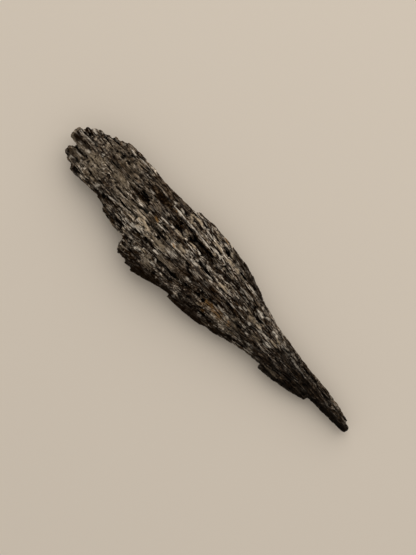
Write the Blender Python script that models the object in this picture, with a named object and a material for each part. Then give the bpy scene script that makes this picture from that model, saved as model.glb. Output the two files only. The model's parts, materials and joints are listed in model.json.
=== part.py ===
"""A black kyanite fan: flat blades grown together from one narrow root and spreading to a broken head.

The fan lies on its flat side. X runs from the root to the head, Y across the fan and Z up, and the
origin is on the surface that it lies on, under the middle of its outline. Every blade is modelled as
a lath of its own and then fused with the others, because the real crystals are grown together.
"""

import math
import random
from collections import namedtuple

import bmesh
import bpy
from mathutils import Vector

MM = 0.001  # the sizes below are in millimetres, and Blender's scene is in metres

BLACK_BROWN = (0.05, 0.037, 0.027, 1.0)
DULL = 0.55

# The fan's form along its length: its two rims and the crest between them in plan, and how high the
# crest, the upper edges of the two rims and the underside below the crest are.
Station = namedtuple("Station", "x low_rim crest high_rim crest_height low_height high_height keel_height")
STATIONS = (
    Station(-45.0, -2.4, -1.6, -0.7, 3.8, 3.3, 2.9, 1.0),
    Station(-36.0, -4.0, -2.0, -0.1, 4.9, 3.8, 3.3, 0.8),
    Station(-24.0, -4.9, -1.8, 3.4, 6.2, 4.2, 3.7, 0.5),
    Station(-12.0, -6.8, -0.8, 4.8, 7.8, 4.7, 4.5, 0.2),
    Station(3.0, -10.1, 0.4, 8.0, 9.4, 5.0, 5.0, 0.1),
    Station(15.0, -9.1, 1.2, 9.8, 9.8, 5.6, 5.2, 0.1),
    Station(22.0, -8.8, 0.4, 6.4, 9.5, 5.6, 6.0, 0.1),
    Station(32.0, -8.9, -0.8, 4.4, 8.8, 5.4, 6.0, 0.3),
    Station(45.0, -4.6, -1.2, 3.4, 7.2, 5.0, 5.4, 1.0),
)
ROOF_ROUNDNESS = 1.5  # 1 is a roof with straight slopes, and more is rounder at the crest
KEEL_SHARE = 0.36  # how far up its rims the underside reaches, as a share of their height

# The solid middle that the blades are grown to. It stays inside them on every side.
HEART_ENDS = (-42.5, 38.5)
HEART_SPANS = 14  # lengthways
HEART_STRIPS = 4  # and widthways, between the two rims
HEART_INSET = 1.5  # from the rims
HEART_INSET_SHARE = 0.6  # but no more than this share of the way from a rim to the crest
HEART_DEPTH = 1.2  # below the fan's upper surface
HEART_HEIGHT = 1.2  # above the fan's underside

SEAM = 0.0001  # points closer than this are one point, where faces of several blades meet

BLADE_SPANS = 4  # the straight stretches that a curved blade is made of
ROOT_SHARE = 0.6  # a blade's width where it starts, as a share of its full width
FULL_WIDTH_AT = 0.55  # the share of its length after which it keeps its full width
CHAMFER = 0.2  # the bevel on a blade's outer long edges, as a share of its width and depth
START_SUNK = 0.12  # a blade starts inside the fan by this share of the fan's thickness, and rises out
RISEN_AT = 0.3  # the share of its length after which it is out
DEEPEST = 0.8  # the most of the fan's thickness that one blade takes up
END_UNDERCUT = 0.25  # a broken end runs back by this share of the depth below the outer face

# One blade. start and end are points in plan and bow is how far the line between them bends to +Y
# halfway. hug says what that line is: the blade's middle (0), or its edge towards +Y (1) or -Y (-1).
# lift is how far its outer face stands above the fan's surface there, roll tilts it about its length
# and raises the side towards +Y, and slant is how much longer it is at its edge towards +Y than at the
# other, as a share of its width.
Blade = namedtuple("Blade", "start end width depth lift roll bow slant hug")


def blade(start, end, width, depth, lift=0.0, roll=0.0, bow=0.0, slant=0.2, hug=0):
    return Blade(Vector(start), Vector(end), width, depth, lift, roll, bow, slant, hug)


# The rim with the large steps, from the root outwards. Its blades lean over the edge.
HIGH_RIM = (
    blade((-44.7, -0.6), (-22.0, 0.4), 1.9, 2.2, 0.0, -34, 0.15, -0.3, 1),
    blade((-33.5, 0.9), (-20.8, 3.8), 2.6, 2.7, 0.3, -38, 0.5, -0.2, 1),
    blade((-30.0, 0.2), (-12.2, 4.7), 2.4, 2.6, 0.1, -30, -0.3, -0.2, 1),
    blade((-22.0, 1.6), (-3.4, 7.0), 2.8, 3.0, 0.0, -34, 0.15, -0.2, 1),
    blade((-14.0, 4.1), (4.2, 8.1), 2.8, 3.2, 0.2, -38, 0.85, -0.1, 1),
    blade((-2.0, 6.0), (16.2, 10.1), 2.8, 3.3, 0.1, -40, 0.0, -0.05, 1),
    blade((4.0, 7.0), (14.2, 10.4), 2.6, 3.2, 0.4, -42, 0.0, -0.2, 1),
    blade((2.0, 7.0), (19.7, 9.7), 2.8, 3.2, 0.5, -24, 0.3, -0.5, 1),
    blade((5.0, 5.6), (20.4, 7.2), 2.6, 3.0, 0.2, -16, 0.3, -0.1, 1),
    blade((8.0, 3.6), (28.6, 5.9), 2.4, 3.2, 0.1, -26, 1.55, -0.6, 1),
    blade((14.0, 4.0), (31.4, 4.7), 2.2, 3.0, 0.3, -18, 0.5, -0.5, 1),
    blade((22.0, 2.4), (40.2, 5.1), 2.4, 3.4, 0.1, -20, 0.5, -0.4, 1),
)

# The other rim, whose edge is smoother.
LOW_RIM = (
    blade((-43.4, -3.1), (-29.0, -4.4), 1.8, 2.4, 0.0, 24, -0.45, 0.3, -1),
    blade((-43.0, -3.0), (-17.0, -5.7), 2.2, 2.6, 0.1, 22, -0.1, 0.3, -1),
    blade((-29.0, -4.2), (-5.0, -9.2), 2.4, 2.8, 0.1, 24, 0.9, 0.3, -1),
    blade((-14.0, -6.2), (8.4, -10.1), 2.4, 3.0, 0.1, 28, -1.45, 0.4, -1),
    blade((-6.0, -8.8), (13.6, -9.9), 2.3, 3.0, 0.4, 20, -1.0, 0.5, -1),
    blade((4.0, -9.4), (24.6, -8.5), 2.3, 3.2, 0.0, 24, -0.15, 0.3, -1),
    blade((18.0, -7.8), (35.6, -8.6), 2.3, 3.2, 0.1, 24, -0.75, 0.55, -1),
)

# The broken ends of the head, from one rim to the other.
HEAD = (
    blade((26.0, 3.1), (42.2, 3.5), 1.5, 3.0, 0.2, -18, 0.0, -0.8),
    blade((24.0, 1.9), (43.3, 2.4), 2.0, 3.2, 0.3, -8, 0.2, -0.15),
    blade((22.0, 0.6), (42.4, 0.8), 1.4, 2.8, -0.7, 4),
    blade((17.0, -0.9), (44.95, -1.4), 2.9, 3.4, 0.3, -3, 0.2, -0.05),
    blade((25.0, -3.2), (43.7, -3.6), 1.6, 3.2, 0.1, 8, 0.0, 0.1),
    blade((20.0, -4.5), (42.7, -4.7), 1.6, 3.0, 0.3, 12, 0.0, 0.4),
    blade((17.0, -5.4), (41.7, -5.3), 1.5, 3.0, -0.1, 10, 0.0, 0.4),
    blade((14.0, -6.1), (39.7, -6.1), 1.5, 3.0, 0.3, 14, 0.0, 0.6),
    blade((12.0, -7.0), (38.2, -6.9), 1.5, 3.0, 0.0, 14, 0.0, 0.6),
    blade((20.0, -7.6), (36.7, -7.5), 1.5, 3.0, 0.2, 16, 0.0, 0.5),
)

# The root: a rod of two long blades.
ROOT = (
    blade((-45.0, -1.3), (-12.0, 0.9), 1.6, 2.3, 0.1, -16, -0.6),
    blade((-44.6, -1.8), (-10.0, -2.6), 2.0, 2.3, 0.2, 16, -0.2),
)

# The upper side, in lanes that spread from the root.
UPPER = (
    blade((-40.0, -3.0), (-18.0, -4.1), 1.7, 2.2, 0.1, 18),
    blade((-35.0, -1.2), (-13.0, 1.6), 2.0, 2.2, 0.2, -22, 0.0, -0.3),
    blade((-30.0, -2.2), (-1.0, -1.6), 2.1, 2.2, 0.3, 12),
    blade((-27.0, -3.2), (-11.0, -4.7), 1.7, 2.2, 0.5, 20, 0.0, 0.6),
    blade((-24.0, 0.8), (-2.4, 2.6), 2.3, 2.4, 0.1, -26, 0.0, -0.4),
    blade((-20.0, -4.3), (-4.5, -6.6), 1.9, 2.2, 0.3, 16),
    blade((-18.0, 2.2), (2.5, 4.6), 2.3, 2.6, 0.3, -24, 0.0, -0.5),
    blade((-15.0, -0.3), (8.0, 0.8), 2.1, 2.2, 0.3, -12, 0.0, 0.4),
    blade((-13.0, -3.0), (2.0, -3.0), 1.7, 2.2, 0.6, 16, 0.0, 0.5),
    blade((-11.0, -5.6), (5.0, -7.8), 1.9, 2.4, 0.4, 18),
    blade((-8.0, 3.4), (10.0, 5.6), 2.3, 2.6, 0.0, -24, 0.0, -0.3),
    blade((-7.0, -1.6), (13.0, -0.9), 2.0, 2.2, 0.5, 8, 0.0, 0.6),
    blade((-4.0, -6.6), (12.6, -8.1), 1.8, 2.6, 0.5, 12, 0.0, 0.4),
    blade((-2.0, -3.0), (11.0, -3.2), 1.7, 2.2, 0.4, 18),
    blade((0.0, 1.8), (15.6, 3.4), 2.2, 2.4, 0.3, -20, 0.0, -0.5),
    blade((1.0, -6.2), (17.8, -6.5), 1.5, 2.6, 0.6, 14, 0.0, 0.2),
    blade((4.0, 0.8), (19.6, 1.6), 2.2, 2.4, 0.6, -6, 0.0, 0.5),
    blade((8.0, 4.4), (18.6, 6.4), 2.2, 2.6, 0.3, -16, 0.0, -0.4),
    blade((9.0, -2.4), (21.6, -2.4), 2.2, 2.2, 0.2, 10, 0.0, -0.3),
    blade((11.0, -0.2), (26.0, 0.2), 2.0, 2.4, 0.2, -4, 0.0, 0.4),
    blade((12.0, -4.9), (27.6, -5.2), 1.9, 2.4, -0.2, 12, 0.0, 0.4),
    blade((15.0, 2.4), (29.0, 2.9), 2.0, 2.4, 0.4, -12, 0.0, -0.3),
    blade((18.0, -7.0), (31.0, -7.2), 1.8, 2.4, 0.3, 18),
    blade((25.4, -1.6), (35.6, -1.8), 2.2, 2.2, 0.7, 6, 0.0, -0.4),
    blade((25.0, -3.4), (37.0, -3.8), 1.8, 2.2, 0.4, 12, 0.0, 0.5),
    blade((26.0, 0.5), (38.2, 0.8), 2.2, 2.2, 0.5, -8, 0.0, 0.4),
    blade((28.0, 2.4), (36.8, 2.9), 1.8, 2.4, 0.3, -14, 0.0, -0.5),
)

# The flat faces that the fan rests on are the undersides of three blades.
RESTING = (
    blade((-12.0, -4.0), (11.0, -5.0), 3.0, 3.0, bow=-0.3),
    blade((-8.0, 1.6), (14.0, 4.2), 3.2, 3.0, bow=0.3),
    blade((19.0, -2.6), (37.0, -2.6), 3.6, 3.2),
)

# The other blades of the underside stand back from it, the more so towards the rims.
UNDER = (
    blade((-44.2, -1.7), (-20.0, -1.4), 1.9, 2.0, 0.0, 4),
    blade((-33.0, 0.3), (-11.0, 3.0), 2.4, 2.6, 0.2, 16, 0.2),
    blade((-36.0, -3.0), (-12.0, -5.2), 2.2, 2.6, 0.3, -14),
    blade((-24.0, -1.6), (3.0, -1.4), 2.8, 2.6, 0.5, 3),
    blade((-15.0, 3.4), (3.6, 6.2), 2.6, 3.2, 0.2, 24, 0.3),
    blade((-12.0, -6.0), (8.0, -8.4), 2.6, 3.2, 0.1, -24, -0.3),
    blade((2.0, -8.0), (24.0, -7.4), 2.6, 3.2, 0.4, -20),
    blade((2.0, 6.0), (18.4, 8.2), 2.8, 3.2, 0.3, 22, 0.2),
    blade((5.0, 0.0), (28.0, 0.2), 3.0, 2.6, 0.5, 3),
    blade((10.0, 4.0), (27.0, 4.2), 2.6, 3.4, 0.2, 16),
    blade((12.0, -4.8), (34.0, -5.6), 2.6, 3.0, 0.0, -12),
    blade((22.0, 1.8), (41.0, 2.6), 2.8, 3.2, 0.1, 16),
    blade((22.0, -6.8), (36.0, -7.2), 2.4, 3.4, 0.3, -20),
    blade((26.0, -0.2), (43.0, -1.2), 2.8, 3.0, 0.8, 3),
    blade((28.0, -4.4), (41.0, -4.4), 2.6, 3.2, 0.2, -12, 0.0, 0.5),
)


# Short crystals that lie on the long ones, where the fan is broken most.
CHIP_COUNT = 30
CHIP_SEED = 11
CHIP_FIELD = (-12.0, 39.0)  # the stretch of the length that they are spread over
CHIP_LENGTH = (3.0, 7.0)
CHIP_WIDTH = (0.8, 1.5)
CHIP_DEPTH = 1.8
CHIP_LIFT = (0.2, 0.8)
CHIP_ROLL = 20.0
CHIP_SLANT = 0.6
CHIP_ACROSS = (0.08, 0.88)  # how far they start from the low rim, as a share of the width
FAN_FOCUS = (-40.0, -1.6)  # the point that the blades of the fan spread from
PARALLEL_FROM = 24.0  # and the place along the fan where they have become parallel


def at_station(x, name):
    """One of the stations' values at any x, on the straight line between its two neighbours."""
    if x <= STATIONS[0].x:
        return getattr(STATIONS[0], name)
    for near, far in zip(STATIONS, STATIONS[1:]):
        if x <= far.x:
            share = (x - near.x) / (far.x - near.x)
            return getattr(near, name) * (1 - share) + getattr(far, name) * share
    return getattr(STATIONS[-1], name)


def share_out(x, y):
    """How far a point is from the crest, as a share of the way to its rim, and which rim that is."""
    crest = at_station(x, "crest")
    side = "high" if y > crest else "low"
    rim = at_station(x, side + "_rim")
    return min((y - crest) / (rim - crest), 1.0), side


def upper_surface(x, y):
    """The height of the fan's upper side, which is a roof rounded over its crest."""
    out, side = share_out(x, y)
    top = at_station(x, "crest_height")
    return top - (top - at_station(x, side + "_height")) * out**ROOF_ROUNDNESS


def lower_surface(x, y):
    """The height of the fan's underside, which curves up to its rims."""
    out, side = share_out(x, y)
    keel = at_station(x, "keel_height")
    return keel + KEEL_SHARE * (at_station(x, side + "_height") - keel) * out**2


def resting_surface(x, y):
    """The height of the flat faces that the fan lies on."""
    return 0.0


def thickness(x, y):
    return upper_surface(x, y) - lower_surface(x, y)


def section_reach(one):
    """How far a blade's section reaches in plan from its middle line, at its full width."""
    turn = math.radians(abs(one.roll))
    widest = one.width / 2 * math.cos(turn) - CHAMFER * one.depth * math.sin(turn)
    return max(widest, (0.5 - CHAMFER) * one.width * math.cos(turn))


def shape_lath(lath, one, surface, hangs):
    """Lays a unit cube along a blade's line: its cross-section, its curve and its broken end."""
    turn = math.radians(one.roll)
    inward = 1 if hangs else -1  # the way from the blade's outer face into the fan
    for vertex in lath.verts:
        along = vertex.co.x + 0.5
        grown = ROOT_SHARE + (1 - ROOT_SHARE) * min(along / FULL_WIDTH_AT, 1.0)
        middle = one.start.lerp(one.end, along)
        middle.y += one.bow * math.sin(math.pi * along) - one.hug * section_reach(one) * grown
        side = vertex.co.y * one.width * grown
        room = thickness(middle.x, middle.y)
        level = (vertex.co.z + inward * 0.5) * min(one.depth, DEEPEST * room)
        skew = one.slant * one.width * vertex.co.y - END_UNDERCUT * abs(level) if along > 0.99 else 0.0
        lift = one.lift + inward * START_SUNK * room * max(0.0, 1 - along / RISEN_AT)
        vertex.co = Vector((
            middle.x + skew,
            middle.y + side * math.cos(turn) - level * math.sin(turn),
            surface(middle.x, middle.y) + lift + side * math.sin(turn) + level * math.cos(turn),
        )) * MM


def fan_slope(x, y):
    """How far the blades at a point run towards +Y for each millimetre along the fan."""
    slope = (y - FAN_FOCUS[1]) / (x - FAN_FOCUS[0])
    return slope * min(1.0, max(0.0, (PARALLEL_FROM - x) / PARALLEL_FROM))


def chips():
    """The short crystals, scattered over the upper side and turned along the fan."""
    chance = random.Random(CHIP_SEED)
    for _ in range(CHIP_COUNT):
        x = chance.uniform(*CHIP_FIELD)
        across = chance.uniform(*CHIP_ACROSS)
        y = at_station(x, "low_rim") * (1 - across) + at_station(x, "high_rim") * across
        length = chance.uniform(*CHIP_LENGTH)
        end = (x + length, y + fan_slope(x, y) * length)
        width = chance.uniform(*CHIP_WIDTH)
        roll = chance.uniform(-CHIP_ROLL, CHIP_ROLL)
        lift = chance.uniform(*CHIP_LIFT)
        slant = chance.uniform(-CHIP_SLANT, CHIP_SLANT)
        yield blade((x, y), end, width, CHIP_DEPTH, lift, roll, slant=slant)


def new_object(name, mesh_data, collection):
    """Puts a bmesh in the scene as an object, with its normals pointing out."""
    bmesh.ops.recalc_face_normals(mesh_data, faces=mesh_data.faces)
    mesh = bpy.data.meshes.new(name)
    mesh_data.to_mesh(mesh)
    mesh_data.free()
    thing = bpy.data.objects.new(name, mesh)
    collection.objects.link(thing)
    return thing


def runs_along_x(edge):
    first, second = edge.verts
    return abs(first.co.x - second.co.x) > abs(first.co.y - second.co.y) + abs(first.co.z - second.co.z)


def add_blade(name, one, surface, hangs, collection):
    """Makes one blade: a unit cube with its outer long edges bevelled, cut into spans and shaped."""
    lath = bmesh.new()
    bmesh.ops.create_cube(lath, size=1.0)
    outer = [e for e in lath.edges if runs_along_x(e) and (e.verts[0].co.z < 0) == hangs]
    bmesh.ops.bevel(lath, geom=outer, offset=CHAMFER, segments=1, affect="EDGES")
    lengthways = [e for e in lath.edges if runs_along_x(e)]
    bmesh.ops.subdivide_edges(lath, edges=lengthways, cuts=BLADE_SPANS - 1)
    shape_lath(lath, one, surface, hangs)
    guide = new_object(name, lath, collection)
    guide.hide_render = True
    guide.display_type = "WIRE"


def add_heart(collection):
    """Makes the solid middle: a unit cube cut into spans and shaped to stay inside the blades."""
    heart = bmesh.new()
    bmesh.ops.create_cube(heart, size=1.0)
    lengthways = [e for e in heart.edges if runs_along_x(e)]
    bmesh.ops.subdivide_edges(heart, edges=lengthways, cuts=HEART_SPANS - 1)
    widthways = [e for e in heart.edges if abs(e.verts[0].co.y - e.verts[1].co.y) > 0.5]
    bmesh.ops.subdivide_edges(heart, edges=widthways, cuts=HEART_STRIPS - 1)
    start, end = HEART_ENDS

    for vertex in heart.verts:
        x = start + (end - start) * (vertex.co.x + 0.5)
        crest = at_station(x, "crest")
        out = abs(vertex.co.y) * 2
        rim = at_station(x, "high_rim" if vertex.co.y > 0 else "low_rim")
        inset = math.copysign(min(HEART_INSET, abs(rim - crest) * HEART_INSET_SHARE), rim - crest)
        y = crest + (rim - inset - crest) * out
        upper = upper_surface(x, y) - HEART_DEPTH
        lower = lower_surface(x, y) + HEART_HEIGHT
        vertex.co = Vector((x, y, upper if vertex.co.z > 0 else lower)) * MM
    return new_object("kyanite_fan", heart, collection)


def shells(solid):
    """The separate closed surfaces of a bmesh, each as a set of its vertices."""
    left = set(solid.verts)
    while left:
        shell = set()
        front = [left.pop()]
        while front:
            vertex = front.pop()
            shell.add(vertex)
            near = {edge.other_vert(vertex) for edge in vertex.link_edges} & left
            left -= near
            front.extend(near)
        yield shell


def grow_together(fan, blades):
    """Fuses the heart with all the blades, and fills the sealed pinholes left between them.

    A pinhole's wall is a closed shell of its own inside the fan, so all but the largest shell go.
    """
    fuse = fan.modifiers.new("grown together", "BOOLEAN")
    fuse.operation = "UNION"
    fuse.solver = "EXACT"
    fuse.operand_type = "COLLECTION"
    fuse.collection = blades
    evaluated = fan.evaluated_get(bpy.context.evaluated_depsgraph_get())
    fan.data = bpy.data.meshes.new_from_object(evaluated)
    fan.modifiers.clear()

    solid = bmesh.new()
    solid.from_mesh(fan.data)
    bmesh.ops.remove_doubles(solid, verts=solid.verts, dist=SEAM * MM)
    for shell in sorted(shells(solid), key=len)[:-1]:
        bmesh.ops.delete(solid, geom=list(shell), context="VERTS")
    solid.to_mesh(fan.data)
    solid.free()


def stone_material():
    material = bpy.data.materials.new("kyanite_fan")
    material.use_nodes = True
    shader = material.node_tree.nodes["Principled BSDF"]
    shader.inputs["Base Color"].default_value = BLACK_BROWN
    shader.inputs["Roughness"].default_value = DULL
    return material


def new_collection(name):
    collection = bpy.data.collections.new(name)
    bpy.context.scene.collection.children.link(collection)
    return collection


def main():
    for thing in list(bpy.data.objects):
        bpy.data.objects.remove(thing)
    parts = new_collection("black kyanite fan")
    blades = new_collection("blades")

    fan = add_heart(parts)
    fan.data.materials.append(stone_material())
    for one in HIGH_RIM + LOW_RIM + HEAD + ROOT + UPPER + tuple(chips()):
        add_blade("upper blade", one, upper_surface, False, blades)
    for one in UNDER:
        add_blade("under blade", one, lower_surface, True, blades)
    for one in RESTING:
        add_blade("resting blade", one, resting_surface, True, blades)

    grow_together(fan, blades)


main()
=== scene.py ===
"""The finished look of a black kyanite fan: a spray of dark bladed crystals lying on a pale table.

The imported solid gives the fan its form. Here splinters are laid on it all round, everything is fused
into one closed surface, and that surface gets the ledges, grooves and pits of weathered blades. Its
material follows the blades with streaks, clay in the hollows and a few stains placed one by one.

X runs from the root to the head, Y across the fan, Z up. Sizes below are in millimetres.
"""

import json
import math
import random

import bpy
import numpy as np
from bpy.props import FloatProperty, FloatVectorProperty, IntProperty, PointerProperty
from mathutils import Matrix, Vector, noise
from mathutils.bvhtree import BVHTree

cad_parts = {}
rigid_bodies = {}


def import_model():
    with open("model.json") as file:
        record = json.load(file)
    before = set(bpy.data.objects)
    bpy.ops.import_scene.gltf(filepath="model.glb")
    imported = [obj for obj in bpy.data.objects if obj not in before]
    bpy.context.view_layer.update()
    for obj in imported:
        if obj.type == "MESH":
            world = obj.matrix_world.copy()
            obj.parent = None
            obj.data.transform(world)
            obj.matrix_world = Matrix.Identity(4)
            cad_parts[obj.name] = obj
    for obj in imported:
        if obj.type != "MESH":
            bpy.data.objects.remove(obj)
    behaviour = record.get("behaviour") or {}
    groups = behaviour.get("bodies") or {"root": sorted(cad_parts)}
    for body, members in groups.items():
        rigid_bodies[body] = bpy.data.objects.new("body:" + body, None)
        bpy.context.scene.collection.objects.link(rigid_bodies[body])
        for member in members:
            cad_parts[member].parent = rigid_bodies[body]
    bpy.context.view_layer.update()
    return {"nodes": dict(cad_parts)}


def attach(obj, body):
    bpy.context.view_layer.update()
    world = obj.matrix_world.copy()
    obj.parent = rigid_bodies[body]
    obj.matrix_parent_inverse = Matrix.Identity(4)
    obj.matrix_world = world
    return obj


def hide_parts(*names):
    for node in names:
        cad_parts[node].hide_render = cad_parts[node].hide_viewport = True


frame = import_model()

bl_info = {
    "name": "Black kyanite fan",
    "version": (1, 0, 0),
    "blender": (4, 5, 0),
    "location": "3D View > Sidebar > Kyanite",
    "description": "Gives a kyanite fan its splinters, relief and finish, and sets it on a table",
    "category": "Add Mesh",
}

MM = 0.001
MM_SCALE = Matrix.Scale(MM, 4)
NODE = "kyanite_fan"
PIECE = "kyanite_fan_surface"


# ---- the fan's grain

APEX_Y = -1.6  # the line that the blades spread from, across the fan
APEX_X = -39.0  # and where it would meet them, along it
KNEE_X = 13.0  # past here the blades run parallel
KNEE_SOFTNESS = 7.0
ROOT_SPREAD = 0.19  # how wide the bundle is at the root, as a share of its width at the head
MIDDLE_Z = 4.2  # the middle of the fan's thickness at the head
NARROW = (0.62, 0.3)  # the spreads at which blades start to count as narrow, and fully do
NARROW_COARSENING = 3.0  # how much coarser noise is across narrow blades


def spread(x):
    """How far the blades have spread at x, from ROOT_SPREAD in the root to 1 in the head."""
    past = KNEE_SOFTNESS * np.log1p(np.exp((x - KNEE_X) / KNEE_SOFTNESS))
    run = (x - past - APEX_X) / (KNEE_X - APEX_X)
    return (ROOT_SPREAD**3 + np.clip(run, 0.0, None) ** 3) ** (1 / 3)


# How far blades wander sideways, and how long and wide a bend is, in millimetres.
WANDERS = ((0.55, 9.0, 3.0), (0.16, 2.6, 1.0))
WANDER_SHIFT, AXIS_SHIFT = 7.7, 3.3  # what sets the noise of each wander and direction apart


def grain_of(points):
    """The place of each point along its blade, across the fan and through it, in millimetres."""
    x, y, z = points.T
    fan = spread(x)
    straight = np.stack([x, (y - APEX_Y) / fan, (z - MIDDLE_Z * np.sqrt(fan)) / fan], axis=1)
    grain = straight.copy()
    for number, (far, along, across) in enumerate(WANDERS):
        for axis in (1, 2):
            places = straight / (along, across, across) + WANDER_SHIFT * number + AXIS_SHIFT * axis
            grain[:, axis] += far * np.array([noise.noise(Vector(p)) for p in places])
    return grain


def smooth_step(value, low, high):
    """0 at low, 1 at high and smooth between them. high may be the lower one."""
    share = np.clip((value - low) / (high - low), 0.0, 1.0)
    return share * share * (3 - 2 * share)


def fractal(places, octaves):
    return np.array([noise.fractal(Vector(p), 1.0, 2.0, octaves) for p in places])


def grained_noise(grain, along, across, seed, octaves):
    """Noise stretched along the blades, and coarser in the root, where they are narrow."""
    coarse = smooth_step(spread(grain[:, 0]), *NARROW)
    total = np.zeros(len(grain))
    for share, factor in ((1 - coarse, 1.0), (coarse, NARROW_COARSENING)):
        used = share > 0
        scaled = grain / (along, across * factor, across * factor) + seed
        total[used] += share[used] * fractal(scaled[used], octaves)
    return total


def plain_noise(points, size, seed):
    return fractal(points / size + seed, 2)


def scatter(cells, seed):
    """A number from 0 to 1 for each cell's centre, the same for every point of the cell."""
    mixed = np.sin(cells @ (12.9898, 78.233, 37.719) + seed) * 43758.5453
    return mixed - np.floor(mixed)


# ---- marks

# A mark follows a path on the upper side, and is as wide each way as its width. Zones are large and soft,
# and spots small and ragged. worn blades are streakier, calm ones plainer, crumbly ones mottled and dusty
# ones duller. A dark mark is black: a clean black blade, or painted shade on faces turned from the light.
# A hollow is sunk, and blackened with painted shade. clay is tan filling, cream a light crust, pale a
# bright fractured edge, partly a painted glint, and ochre rust.

def marker(kind):
    """A function that makes marks of one kind, each from its width, strength and path."""
    return lambda width, strength, *path: (kind, width, strength, path)


KINDS = ("worn", "calm", "crumbly", "dusty", "dark_and_shade", "hollow", "clay", "cream", "pale_and_glint", "ochre")
worn, calm, crumbly, dusty, dark_and_shade, hollow, clay, cream, pale_and_glint, ochre = map(marker, KINDS)

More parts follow.
